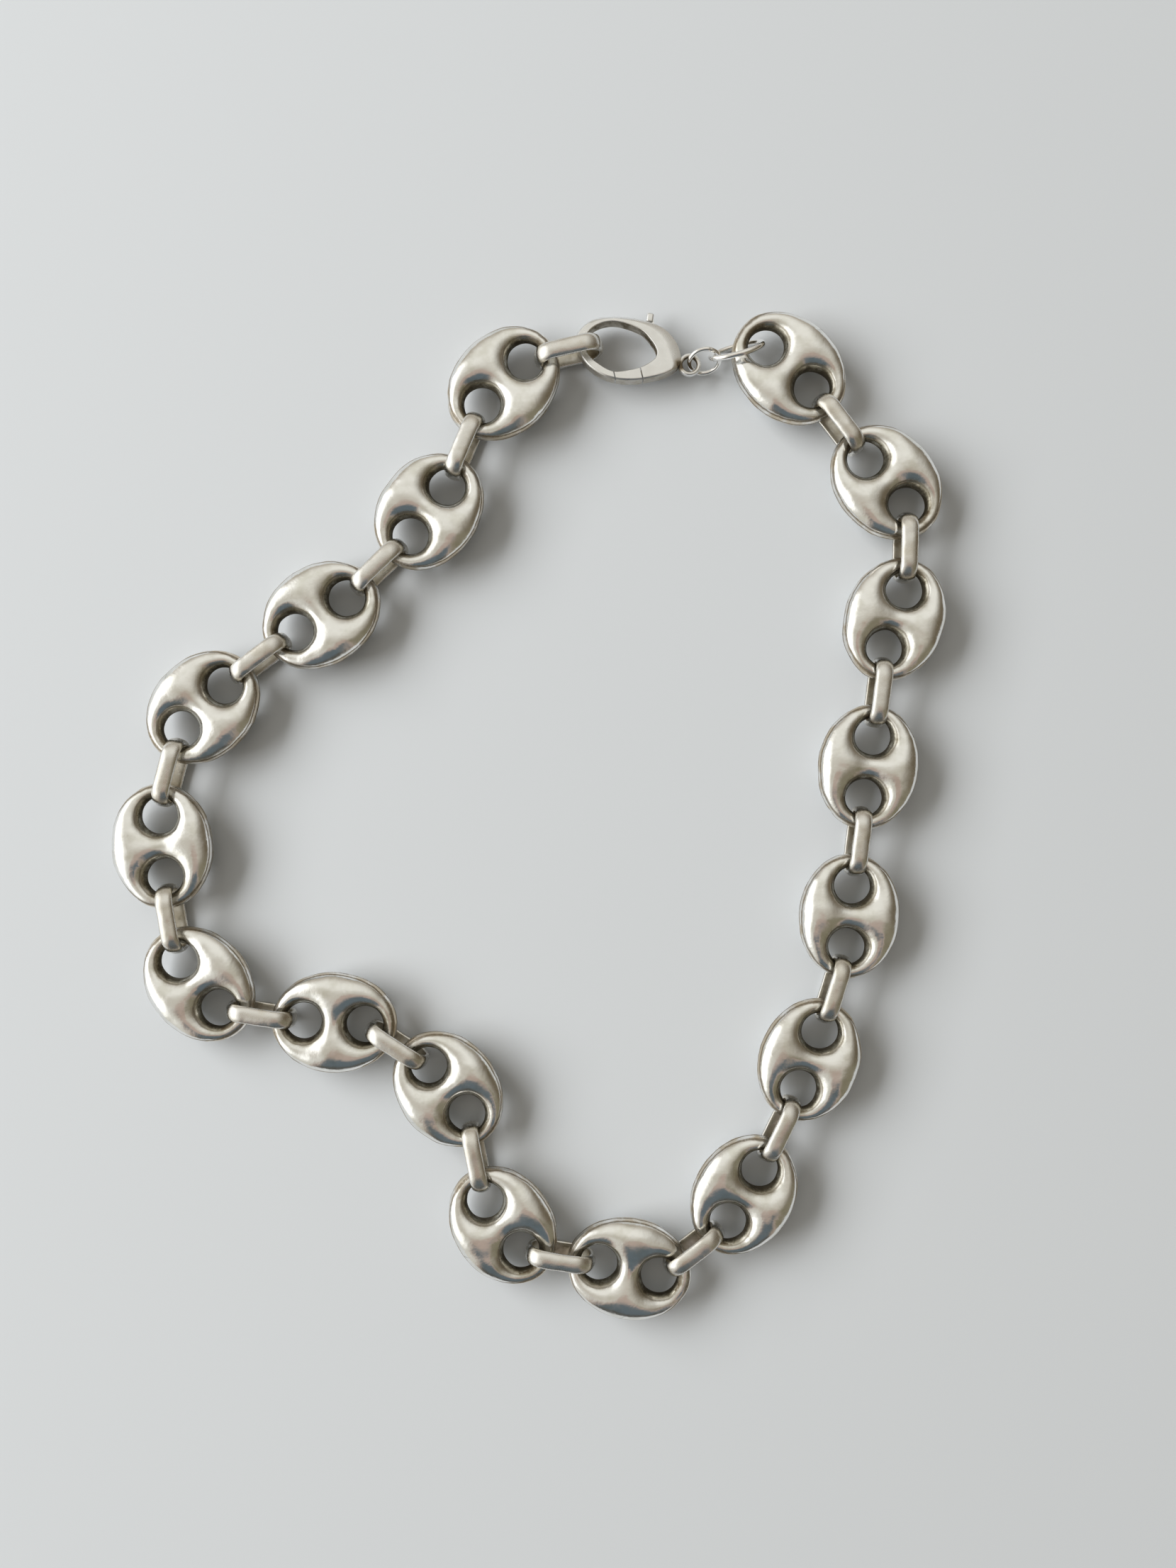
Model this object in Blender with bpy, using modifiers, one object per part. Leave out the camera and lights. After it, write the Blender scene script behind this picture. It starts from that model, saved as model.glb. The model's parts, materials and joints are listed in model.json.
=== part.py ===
"""Puffed mariner link necklace with a lobster clasp, lying flat in an open loop.

Units are metres and +Z is up. The origin is the middle of the base of the whole necklace.
Links and connectors are numbered along the chain, from the clasp's hook round to its eye.
"""

import math

import bmesh
import bpy
from mathutils import Matrix, Vector

# Puffed link: an oval pillow with two flared holes
LINK_LENGTH = 0.0212
LINK_WIDTH = 0.0169
LINK_THICKNESS = 0.0058
LINK_FULLNESS = 2.6
HOLE_SPACING = 0.0104
HOLE_RADIUS = 0.00305
FLARE_RADIUS = 0.0016
FLARE_ANGLE = math.radians(60)
FLARE_STEPS = 2
HOLE_CUT_BEYOND = 0.0005
LINK_SEGMENTS = 22
LINK_RINGS = 8
HOLE_SEGMENTS = 14

# Connector: an oblong loop of half-round wire that stands on its edge
CONNECTOR_LENGTH = 0.0120
CONNECTOR_HEIGHT = 0.0070
WIRE_THICKNESS = 0.0010
WIRE_WIDTH = 0.0029
WIRE_FLAT = 0.0009
WIRE_INNER_ROUND = 0.0003
WIRE_HAUNCH_RISE = 0.75
WIRE_HAUNCH_LEAN = 0.4
CONNECTOR_ARC_STEPS = 6

# Chain: headings in degrees from +X, and the distance from hole to hole over a connector
MID_HEIGHT = CONNECTOR_HEIGHT / 2
FIRST_HOLE = Vector((-0.0105, 0.0711))
LINK_HEADINGS = (
    225.5, 233.3, 213.3, 225.7, 275.0, 310.3, 356.7, 309.0, 306.1,
    348.0, 58.7, 69.7, 84.5, 81.4, 70.9, 132.0, 137.4,
)
CONNECTOR_HEADINGS = (
    246.7, 224.2, 217.1, 255.6, 279.6, 351.0, 327.1, 281.5,
    350.9, 38.1, 64.1, 72.7, 82.6, 82.5, 88.5, 127.6,
)
TAUT_SPAN = 0.0150
SLACK = {5: 0.0006, 6: 0.0005, 7: 0.0022, 9: 0.0017, 10: 0.0002, 15: 0.0006}
CLASP_CONNECTOR_HEADING = 13.0
CLASP_CONNECTOR_REACH = 0.0075

# Lobster clasp: a flat egg-shaped hook with an eye, and a gate lever on a pin
CLASP_CENTRE = Vector((0.0070, 0.0733))
CLASP_HEADING = -8.0
CLASP_THICKNESS = 0.0026
CLASP_SHOULDER = 0.0005
CLASP_REST = 0.0013
CLASP_OUTLINE = (
    (-9.0, -0.1), (-8.4, 2.4), (-6.1, 4.3), (-2.6, 5.15), (1.8, 5.25), (5.5, 4.4), (7.9, 2.4), (9.1, -0.1),
    (8.5, -1.9), (6.7, -3.4), (3.3, -4.75), (0.8, -5.3), (-1.6, -5.4), (-4.2, -4.9), (-7.1, -3.2),
)
CLASP_OPENING = (
    (-7.7, 0.3), (-6.2, 2.9), (-3.0, 4.15), (1.3, 3.5), (3.6, 1.85), (4.7, 0.2),
    (4.3, -1.0), (2.4, -2.8), (-0.8, -4.0), (-2.6, -4.1), (-4.8, -3.2), (-6.7, -1.8),
)
OUTLINE_UNIT = 0.001
GATE_TIP = ((-2.7, -2.5), (-0.9, -7.0))
GATE_HEEL = ((1.95, -2.0), (4.0, -7.0))
GATE_GAP = 0.0003
PIVOT = Vector((0.0064, 0.0001))
PIN_RADIUS = 0.00045
PIN_HOLE_RADIUS = 0.0006
PIN_SEGMENTS = 12
LEVER_THICKNESS = 0.0008
LEVER_SLOT = 0.0013
LEVER_SLOT_ENDS = (0.0016, 0.0080)
LEVER_SLOT_ACROSS = 0.016
LEVER_OUTLINE = (
    (0.4, -4.3), (0.9, -4.9), (3.1, -4.35), (5.4, -2.7), (7.0, -1.0), (7.6, 0.2), (7.2, 1.2), (6.2, 2.7),
    (3.5, 5.0), (3.3, 6.2), (2.0, 6.2), (2.1, 4.4), (4.3, 2.3), (5.2, 0.4), (4.5, -1.4), (2.3, -3.4),
)
TRIGGER_CENTRE = Vector((0.00265, 0.00615))
TRIGGER_SIZE = Vector((0.0017, 0.0011, 0.0021))
EYE_CENTRE = Vector((0.0106, -0.00095))
EYE_RADIUS = 0.0020
EYE_HOLE_RADIUS = 0.00125
EYE_THICKNESS = 0.0012
EYE_CHAMFER = 0.0002
EYE_SEGMENTS = 20

# Jump rings: oval rings of round wire that stand tilted through each other
RING_STEPS = 24
RING_WIRE_RESOLUTION = 2
SMALL_RING = {
    "centre": Vector((0.0199, 0.0715, 0.00275)),
    "length": 0.0053, "width": 0.0050, "wire": 0.00095, "heading": 6.0, "tilt": 58.0,
}
LARGE_RING = {
    "centre": Vector((0.0253, 0.0731, 0.0035)),
    "length": 0.0090, "width": 0.0066, "wire": 0.0011, "heading": 16.5, "tilt": -60.5,
}

# Mesh making
WELD_DISTANCE = 1e-6
OUTLINE_RESOLUTION = 3
SHARP_ANGLE = math.radians(35)
SHOULDER_ANGLE = math.radians(60)


def clear_scene():
    for item in list(bpy.data.objects):
        bpy.data.objects.remove(item)


def collection(name):
    made = bpy.data.collections.new(name)
    bpy.context.scene.collection.children.link(made)
    return made


def material(name, colour, roughness):
    made = bpy.data.materials.new(name)
    made.use_nodes = True
    surface = made.node_tree.nodes["Principled BSDF"]
    surface.inputs["Base Color"].default_value = (*colour, 1)
    surface.inputs["Roughness"].default_value = roughness
    surface.inputs["Metallic"].default_value = 1
    return made


def along(heading, distance):
    angle = math.radians(heading)
    return Vector((math.cos(angle), math.sin(angle))) * distance


def helper(name, data):
    """An object in the helpers collection, which is never rendered."""
    made = bpy.data.objects.new(name, data)
    made.hide_render = True
    made.display_type = "WIRE"
    helpers.objects.link(made)
    return made


def piece(name, mesh, surface, parent, place, heading=0.0):
    made = bpy.data.objects.new(name, mesh)
    if not mesh.materials:
        mesh.materials.append(surface)
    made.parent = parent
    made.location = place
    made.rotation_euler.z = math.radians(heading)
    necklace.objects.link(made)
    return made


def evaluated_mesh(source, name):
    """The finished mesh of a helper, whose loose caps are welded. The helper is removed."""
    bpy.context.view_layer.update()
    graph = bpy.context.evaluated_depsgraph_get()
    mesh = bpy.data.meshes.new_from_object(source.evaluated_get(graph))
    mesh.name = name
    welded = bmesh.new()
    welded.from_mesh(mesh)
    bmesh.ops.remove_doubles(welded, verts=welded.verts, dist=WELD_DISTANCE)
    welded.to_mesh(mesh)
    welded.free()
    bpy.data.objects.remove(source)
    return mesh


def combined(name, mesh, changes):
    """A mesh with each (operation, other mesh) applied in turn."""
    blank = helper(name, mesh)
    others = []
    for number, (operation, other) in enumerate(changes):
        others.append(helper(f"{name}_tool_{number}", other))
        step = blank.modifiers.new(f"{operation.lower()}_{number}", "BOOLEAN")
        step.operation = operation
        step.solver = "EXACT"
        step.object = others[-1]
    made = evaluated_mesh(blank, name)
    for other in others:
        bpy.data.objects.remove(other)
    return made


def smooth(mesh):
    mesh.shade_smooth()
    mesh.set_sharp_from_angle(angle=SHARP_ANGLE)
    return mesh


def turned(name, profile, segments):
    """A solid of revolution about Z. The profile runs from top to bottom as (radius, height)."""
    outline = bpy.data.meshes.new(name)
    outline.from_pydata([(radius, 0, height) for radius, height in profile], [
        (index, index + 1) for index in range(len(profile) - 1)
    ], [])
    source = helper(name, outline)
    screw = source.modifiers.new("turn", "SCREW")
    screw.steps = screw.render_steps = segments
    screw.use_merge_vertices = True
    screw.merge_threshold = WELD_DISTANCE
    return evaluated_mesh(source, name)


def flat_plate(name, outlines, half_thickness, smooth_turns=False):
    """A flat plate from closed outlines, which are curved through their points or straight between them."""
    curve = bpy.data.curves.new(name, "CURVE")
    curve.dimensions = "2D"
    curve.fill_mode = "BOTH"
    curve.extrude = half_thickness
    curve.resolution_u = OUTLINE_RESOLUTION
    for outline in outlines:
        if smooth_turns:
            spline = curve.splines.new("BEZIER")
            spline.bezier_points.add(len(outline) - 1)
            for point, (x, y) in zip(spline.bezier_points, outline):
                point.co = (x * OUTLINE_UNIT, y * OUTLINE_UNIT, 0)
                point.handle_left_type = point.handle_right_type = "AUTO"
        else:
            spline = curve.splines.new("POLY")
            spline.points.add(len(outline) - 1)
            for point, (x, y) in zip(spline.points, outline):
                point.co = (x * OUTLINE_UNIT, y * OUTLINE_UNIT, 0, 1)
        spline.use_cyclic_u = True
    return evaluated_mesh(helper(name, curve), name)


def cylinder(name, radius, depth, segments, centre):
    made = bmesh.new()
    bmesh.ops.create_cone(
        made, cap_ends=True, segments=segments, radius1=radius, radius2=radius, depth=depth,
        matrix=Matrix.Translation(centre),
    )
    mesh = bpy.data.meshes.new(name)
    made.to_mesh(mesh)
    made.free()
    return mesh


def block(name, size, centre):
    made = bmesh.new()
    bmesh.ops.create_cube(made, size=1, matrix=Matrix.Translation(centre) @ Matrix.Diagonal((*size, 1)))
    mesh = bpy.data.meshes.new(name)
    made.to_mesh(mesh)
    made.free()
    return mesh


def puffed_link_mesh():
    """The pillow is a turned superellipse stretched to an oval. Each hole is cut by a turned waist."""
    profile = []
    for step in range(LINK_RINGS + 1):
        angle = math.pi * step / LINK_RINGS
        radius = math.sin(angle)
        height = (1 - radius ** LINK_FULLNESS) ** (1 / LINK_FULLNESS)
        profile.append((radius, math.copysign(height, math.cos(angle))))
    profile[LINK_RINGS // 2] = (1.0, 0.0)
    pillow = turned("pillow", profile, LINK_SEGMENTS)
    pillow.transform(Matrix.Diagonal((LINK_LENGTH / 2, LINK_WIDTH / 2, LINK_THICKNESS / 2, 1)))

    upper = []
    for step in range(FLARE_STEPS + 1):
        angle = FLARE_ANGLE * step / FLARE_STEPS
        radius = HOLE_RADIUS + FLARE_RADIUS * (1 - math.cos(angle))
        upper.append((radius, FLARE_RADIUS * math.sin(angle)))
    rise = LINK_THICKNESS / 2 + HOLE_CUT_BEYOND - upper[-1][1]
    upper.append((upper[-1][0] + rise * math.tan(FLARE_ANGLE), upper[-1][1] + rise))
    waist = [(0, upper[-1][1]), *reversed(upper), *((r, -z) for r, z in upper[1:]), (0, -upper[-1][1])]
    holes = []
    for side in (-1, 1):
        hole = turned("hole", waist, HOLE_SEGMENTS)
        hole.transform(Matrix.Translation((side * HOLE_SPACING / 2, 0, 0)))
        holes.append(("DIFFERENCE", hole))
    return smooth(combined("puffed_link", pillow, holes))


def connector_mesh():
    """Half-round wire bent round the inside of an oblong loop. Its flat side faces inwards."""
    half_width = WIRE_WIDTH / 2
    crown = WIRE_FLAT / 2
    haunch = half_width + WIRE_HAUNCH_LEAN * (crown - half_width)
    side = [
        (0, -half_width + WIRE_INNER_ROUND),
        (-WIRE_INNER_ROUND, -half_width),
        (-WIRE_HAUNCH_RISE * WIRE_THICKNESS, -haunch),
        (-WIRE_THICKNESS, -crown),
    ]
    section = bpy.data.curves.new("wire_section", "CURVE")
    section.dimensions = "2D"
    spline = section.splines.new("POLY")
    points = side + [(x, -y) for x, y in reversed(side)]
    spline.points.add(len(points) - 1)
    for point, (x, y) in zip(spline.points, points):
        point.co = (x, y, 0, 1)
    spline.use_cyclic_u = True

    radius = CONNECTOR_HEIGHT / 2 - WIRE_THICKNESS
    straight = CONNECTOR_LENGTH / 2 - WIRE_THICKNESS - radius
    path = bpy.data.curves.new("connector_path", "CURVE")
    path.dimensions = "2D"
    path.fill_mode = "NONE"
    path.bevel_mode = "OBJECT"
    path.bevel_object = helper("wire_section", section)
    spline = path.splines.new("POLY")
    points = []
    for end in (1, -1):
        for step in range(CONNECTOR_ARC_STEPS + 1):
            angle = -math.pi / 2 + math.pi * step / CONNECTOR_ARC_STEPS
            points.append((end * (straight + radius * math.cos(angle)), end * radius * math.sin(angle)))
    spline.points.add(len(points) - 1)
    for point, (x, y) in zip(spline.points, points):
        point.co = (x, y, 0, 1)
    spline.use_cyclic_u = True
    mesh = evaluated_mesh(helper("connector", path), "connector")
    mesh.transform(Matrix.Rotation(math.pi / 2, 4, "X"))
    return smooth(mesh)


def chain_layout():
    """Middle points and headings of the links and connectors, walked from hole to hole."""
    hole = FIRST_HOLE.copy()
    links = []
    clasp_connector = hole - along(CLASP_CONNECTOR_HEADING + 180, CLASP_CONNECTOR_REACH)
    connectors = [(clasp_connector, CLASP_CONNECTOR_HEADING)]
    for number, heading in enumerate(LINK_HEADINGS, start=1):
        links.append((hole + along(heading, HOLE_SPACING / 2), heading))
        hole = hole + along(heading, HOLE_SPACING)
        if number <= len(CONNECTOR_HEADINGS):
            turn = CONNECTOR_HEADINGS[number - 1]
            span = TAUT_SPAN - SLACK.get(number, 0)
            connectors.append((hole + along(turn, span / 2), turn))
            hole = hole + along(turn, span)
    return links, connectors


def add_chain(parent):
    links, connectors = chain_layout()
    link_mesh = puffed_link_mesh()
    loop_mesh = connector_mesh()
    for number, (place, heading) in enumerate(links, start=1):
        piece(f"puffed_link_{number:02}", link_mesh, link_silver, parent, (*place, MID_HEIGHT), heading)
    for number, (place, heading) in enumerate(connectors):
        piece(f"connector_{number:02}", loop_mesh, connector_silver, parent, (*place, MID_HEIGHT), heading)


def clasp_plate():
    """The whole oval of the clasp, with chamfered shoulders."""
    plate = flat_plate("clasp_plate", (CLASP_OUTLINE, CLASP_OPENING), CLASP_THICKNESS / 2, smooth_turns=True)
    source = helper("clasp_plate", plate)
    shoulders = source.modifiers.new("shoulders", "BEVEL")
    shoulders.width = CLASP_SHOULDER
    shoulders.segments = 1
    shoulders.limit_method = "ANGLE"
    shoulders.angle_limit = SHOULDER_ANGLE
    return evaluated_mesh(source, "clasp_plate")


def mouth(name, clearance):
    """A prism over the stretch that the gate closes, narrower than its two slots by the clearance."""
    inset = clearance / OUTLINE_UNIT
    tip = [(x + inset, y) for x, y in GATE_TIP]
    heel = [(x - inset, y) for x, y in reversed(GATE_HEEL)]
    return flat_plate(name, (tip + heel,), CLASP_THICKNESS)


def pin_hole():
    return cylinder("pin_hole", PIN_HOLE_RADIUS, 2 * CLASP_THICKNESS, PIN_SEGMENTS, (*PIVOT, 0))


def clasp_body_mesh():
    slot_from, slot_to = LEVER_SLOT_ENDS
    slot = block(
        "lever_slot",
        (slot_to - slot_from, LEVER_SLOT_ACROSS, LEVER_SLOT),
        ((slot_from + slot_to) / 2, 0, 0),
    )
    half = EYE_THICKNESS / 2
    rim = [
        (EYE_HOLE_RADIUS, half - EYE_CHAMFER),
        (EYE_HOLE_RADIUS + EYE_CHAMFER, half),
        (EYE_RADIUS - EYE_CHAMFER, half),
        (EYE_RADIUS, half - EYE_CHAMFER),
        (EYE_RADIUS, EYE_CHAMFER - half),
        (EYE_RADIUS - EYE_CHAMFER, -half),
        (EYE_HOLE_RADIUS + EYE_CHAMFER, -half),
        (EYE_HOLE_RADIUS, EYE_CHAMFER - half),
        (EYE_HOLE_RADIUS, half - EYE_CHAMFER),
    ]
    eye = turned("eye", rim, EYE_SEGMENTS)
    eye.transform(Matrix.Translation((*EYE_CENTRE, 0)))
    return smooth(combined("clasp_body", clasp_plate(), [
        ("DIFFERENCE", mouth("mouth", -GATE_GAP / 2)),
        ("DIFFERENCE", slot),
        ("DIFFERENCE", pin_hole()),
        ("UNION", eye),
    ]))


def clasp_gate_mesh():
    """The gate, the thin lever that runs inside the body, and the trigger, about the pivot."""
    trigger = block("trigger", TRIGGER_SIZE, (*TRIGGER_CENTRE, 0))
    lever = flat_plate("lever", (LEVER_OUTLINE,), LEVER_THICKNESS / 2)
    mesh = combined("clasp_gate", clasp_plate(), [
        ("INTERSECT", mouth("gate_stretch", GATE_GAP / 2)),
        ("UNION", lever),
        ("UNION", trigger),
        ("DIFFERENCE", pin_hole()),
    ])
    mesh.transform(Matrix.Translation((-PIVOT.x, -PIVOT.y, 0)))
    return smooth(mesh)


def add_clasp(parent):
    clasp = bpy.data.objects.new("clasp", None)
    clasp.parent = parent
    clasp.location = (*CLASP_CENTRE, CLASP_REST + CLASP_THICKNESS / 2)
    clasp.rotation_euler.z = math.radians(CLASP_HEADING)
    necklace.objects.link(clasp)
    piece("clasp_body", clasp_body_mesh(), clasp_silver, clasp, (0, 0, 0))
    piece("clasp_gate", clasp_gate_mesh(), clasp_silver, clasp, (*PIVOT, 0))
    pin = smooth(cylinder("clasp_pin", PIN_RADIUS, CLASP_THICKNESS, PIN_SEGMENTS, (0, 0, 0)))
    piece("clasp_pin", pin, clasp_silver, clasp, (*PIVOT, 0))


def add_jump_ring(name, parent, centre, length, width, wire, heading, tilt):
    """A closed oval of round wire. Its length lies level along its heading, and its width is tilted."""
    path = bpy.data.curves.new(name, "CURVE")
    path.dimensions = "3D"
    path.bevel_depth = wire / 2
    path.bevel_resolution = RING_WIRE_RESOLUTION
    path.twist_mode = "Z_UP"
    spline = path.splines.new("POLY")
    spline.points.add(RING_STEPS - 1)
    for step, point in enumerate(spline.points):
        angle = 2 * math.pi * step / RING_STEPS
        point.co = (length / 2 * math.cos(angle), width / 2 * math.sin(angle), 0, 1)
    spline.use_cyclic_u = True
    mesh = evaluated_mesh(helper(name, path), name)
    mesh.transform(Matrix.Rotation(math.radians(tilt), 4, "X"))
    piece(name, smooth(mesh), ring_silver, parent, centre, heading)


def stand_on_origin(parent):
    """Moves the necklace so that the middle of its base is the origin."""
    bpy.context.view_layer.update()
    corners = [
        item.matrix_world @ vertex.co
        for item in necklace.objects if item.type == "MESH"
        for vertex in item.data.vertices
    ]
    low = [min(corner[axis] for corner in corners) for axis in range(3)]
    high = [max(corner[axis] for corner in corners) for axis in range(3)]
    parent.location = (-(low[0] + high[0]) / 2, -(low[1] + high[1]) / 2, -low[2])


clear_scene()
necklace = collection("mariner_necklace")
helpers = collection("helpers")
link_silver = material("link_silver", (0.82, 0.80, 0.76), 0.16)
connector_silver = material("connector_silver", (0.80, 0.78, 0.73), 0.20)
clasp_silver = material("clasp_silver", (0.88, 0.88, 0.87), 0.10)
ring_silver = material("ring_silver", (0.90, 0.90, 0.89), 0.10)

root = bpy.data.objects.new("necklace_root", None)
necklace.objects.link(root)
add_chain(root)
add_clasp(root)
add_jump_ring("small_jump_ring", root, **SMALL_RING)
add_jump_ring("large_jump_ring", root, **LARGE_RING)
stand_on_origin(root)
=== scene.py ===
"""Looks of the puffed mariner link necklace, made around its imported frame.

Units are metres. The frame gives the place of every link, connector, ring and clasp piece.
"""

import json
import math

import bmesh
import bpy
import numpy as np
from mathutils import Matrix, Vector


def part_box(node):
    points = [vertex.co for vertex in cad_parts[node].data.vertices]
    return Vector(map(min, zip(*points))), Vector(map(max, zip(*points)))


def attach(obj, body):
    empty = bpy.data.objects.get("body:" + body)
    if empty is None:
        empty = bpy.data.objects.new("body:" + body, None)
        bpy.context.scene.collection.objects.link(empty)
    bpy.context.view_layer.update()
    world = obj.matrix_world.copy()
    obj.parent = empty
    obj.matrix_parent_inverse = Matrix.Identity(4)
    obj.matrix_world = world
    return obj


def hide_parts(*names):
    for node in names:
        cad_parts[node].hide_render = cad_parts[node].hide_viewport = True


MM = 0.001

# Camera: straight above the middle of the photograph, with the photograph's top towards +Y
CAMERA_PLACE = (0.00996, 0.00522, 0.1955)
CAMERA_LENS_MM = 26.04
CAMERA_SENSOR_MM = 36.0

# Puffed link
LINK_LENGTH = 21.2 * MM
LINK_WIDTH = 16.9 * MM
LINK_SWELL = 5.50 * MM
LINK_FULLNESS = 2.6
LINK_EDGE = 0.5
HOLE_SPACING = 10.4 * MM
HOLE_RADIUS = 3.05 * MM
FUNNEL_SPREAD = 1.2
FUNNEL_EDGE = 0.65
SADDLE_HEIGHT = 2.0 * MM
SEAM_HEIGHT = 1.6 * MM
SEAM_GROOVE = 0.07 * MM
RAYS_ROUND = 84
RAYS_BRIDGE = 44
STEPS_ALONG_RAY = 26

# Connector
CONNECTOR_LENGTH = 12.0 * MM
CONNECTOR_HEIGHT = 7.0 * MM
WIRE_WIDTH = 2.9 * MM
WIRE_THICKNESS = 1.0 * MM
WIRE_SHOULDER = 0.28 * MM
RUN_STEPS = 12
ARC_STEPS = 18
CROWN_STEPS = 14

# Lobster clasp, about its own middle with X towards its eye
CLASP_HEADING = math.radians(-8)
CLASP_HALF = 1.3 * MM
CLASP_OUTLINE = (
    (-9.0, -0.1), (-8.4, 2.4), (-6.1, 4.3), (-2.6, 5.15), (1.8, 5.2), (5.4, 4.3), (7.8, 2.3), (8.9, 0.0),
    (8.7, -1.7), (6.7, -3.4), (3.3, -4.75), (0.8, -5.3), (-1.6, -5.4), (-4.2, -4.9), (-7.1, -3.2),
)
CLASP_OPENING = (
    (-7.7, 0.3), (-6.2, 2.9), (-3.0, 4.15), (1.3, 3.5), (3.6, 1.85), (4.7, 0.4),
    (4.8, -0.6), (4.1, -1.6), (2.3, -2.9), (-0.8, -4.0), (-2.6, -4.1), (-4.8, -3.2), (-6.7, -1.8),
)
CLASP_MIDDLE = np.array((-1.4, -0.3)) * MM
CLASP_ROWS = 320
SHOULDER_STEPS = 8
FACE_STEPS = 10
INNER_SHOULDER = 0.20 * MM
NEAR_SHOULDER = 0.24 * MM
FAR_SHOULDER = 2.1 * MM
FAR_SHOULDER_DROP = 0.6 * MM
SHOULDER_BEND = 1.3
FAR_SIDE = math.radians(42)
GATE_TIP = ((-2.7, -2.5), (-0.9, -7.0))
GATE_HEEL = ((1.95, -2.0), (4.0, -7.0))
GATE_SLIT = 0.22 * MM
PIVOT = Vector((6.4, 0.1, 0)) * MM
PIN_RADIUS = 0.45 * MM
PIN_HOLE_RADIUS = 0.6 * MM
LEVER_HALF = 0.4 * MM
LEVER_SLOT_HALF = 0.65 * MM
LEVER_SLOT_OUTLINE = (
    (1.6, -4.1), (3.3, -3.95), (5.6, -3.0), (7.1, -1.8), (8.0, -0.6), (7.9, 0.9), (7.15, 2.1), (6.6, 7.0), (1.6, 7.0),
)
LEVER_OUTLINE = (
    (0.4, -4.1), (1.4, -4.3), (3.1, -3.7), (5.2, -2.6), (6.9, -1.1), (7.5, 0.2), (7.1, 1.2), (6.0, 2.6),
    (3.6, 5.0), (3.4, 6.2), (2.3, 6.2), (2.3, 4.4), (4.3, 2.3), (5.2, 0.4), (4.5, -1.4), (2.3, -3.3),
)
TRIGGER_MIDDLE = Vector((2.85, 5.95, 0)) * MM
TRIGGER_SIZE = Vector((1.2, 1.6, 1.3)) * MM
TRIGGER_ROUNDING = 0.34 * MM
EYE_MIDDLE = Vector((10.6, -0.95, 0)) * MM
EYE_RADIUS = 1.95 * MM
EYE_HOLE_RADIUS = 1.2 * MM
EYE_HALF = 0.62 * MM
EYE_STEPS = 64
EYE_SHAPE = 2.6

# Jump rings: each middle and lean is read from the frame
RING_STEPS = 120
RING_AROUND = 20
SMALL_RING = {"length": 5.2 * MM, "width": 4.9 * MM, "wire": 0.80 * MM, "seam_at": 1.9}
LARGE_RING = {"length": 9.0 * MM, "width": 6.6 * MM, "wire": 0.95 * MM, "seam_at": 0.6}
RING_SEAM = 0.05 * MM


def body_of(node):
    for name, members in frame["record"]["behaviour"]["bodies"].items():
        if node in members:
            return name
    raise KeyError(node)


def placement(node):
    """Where a node lies: its middle, with X along its longest direction and Z along its shortest."""
    mesh = frame["nodes"][node].data
    mesh.calc_loop_triangles()
    corners = np.array([vertex.co for vertex in mesh.vertices])
    triangles = np.array([triangle.vertices for triangle in mesh.loop_triangles])
    a, b, c = (corners[triangles[:, side]] for side in range(3))
    areas = np.linalg.norm(np.cross(b - a, c - a), axis=1)
    middles = (a + b + c) / 3
    centre = np.average(middles, axis=0, weights=areas)
    spread = np.cov((middles - centre).T, aweights=areas)
    axes = np.linalg.eigh(spread)[1][:, ::-1]
    return centre, axes


def level_placement(node):
    """As placement, for a piece that stands level: Z is up and X is its longest level direction."""
    low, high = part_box(node)
    centre, axes = placement(node)
    heading = math.atan2(axes[1, 0], axes[0, 0])
    return Matrix.Translation((low + high) / 2) @ Matrix.Rotation(heading, 4, "Z")


def moved(points, matrix):
    turn = np.array(matrix.to_3x3())
    return points @ turn.T + np.array(matrix.translation)


def waves(points, length, seed, count=14):
    """A smooth wavy field over points, between about -1 and 1, with humps of the given length."""
    draw = np.random.default_rng(seed)
    total = np.zeros(len(points))
    for _ in range(count):
        direction = draw.normal(size=3)
        direction *= 2 * math.pi / length / np.linalg.norm(direction) * draw.uniform(0.6, 1.4)
        total += np.cos(points @ direction + draw.uniform(0, 2 * math.pi))
    return total / math.sqrt(count)


def mesh_from(name, points, faces):
    mesh = bpy.data.meshes.new(name)
    mesh.from_pydata([tuple(point) for point in points], [], faces)
    welded = bmesh.new()
    welded.from_mesh(mesh)
    bmesh.ops.remove_doubles(welded, verts=welded.verts, dist=1e-6)
    bmesh.ops.recalc_face_normals(welded, faces=welded.faces)
    welded.to_mesh(mesh)
    welded.free()
    mesh.shade_smooth()
    return mesh


def points_of(mesh):
    points = np.empty(len(mesh.vertices) * 3, dtype=np.float32)
    mesh.vertices.foreach_get("co", points)
    return points.reshape(-1, 3).astype(float)


def normals_of(mesh):
    normals = np.empty(len(mesh.vertices) * 3, dtype=np.float32)
    mesh.vertex_normals.foreach_get("vector", normals)
    return normals.reshape(-1, 3).astype(float)


def add_piece(name, template, points, node, surface, marks):
    """A copy of a template mesh with its own points, standing for a node of the frame."""
    mesh = template.copy()
    mesh.name = name
    points[:, 2] = np.maximum(points[:, 2], 0)
    mesh.vertices.foreach_set("co", points.astype(np.float32).ravel())
    for mark, values in marks.items():
        attribute = mesh.attributes.new(mark, "FLOAT", "POINT")
        attribute.data.foreach_set("value", values.astype(np.float32))
    mesh.update()
    mesh.materials.clear()
    mesh.materials.append(surface)
    made = bpy.data.objects.new(name, mesh)
    bpy.context.scene.collection.objects.link(made)
    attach(made, body_of(node))
    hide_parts(node)
    return made


# Links

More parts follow.
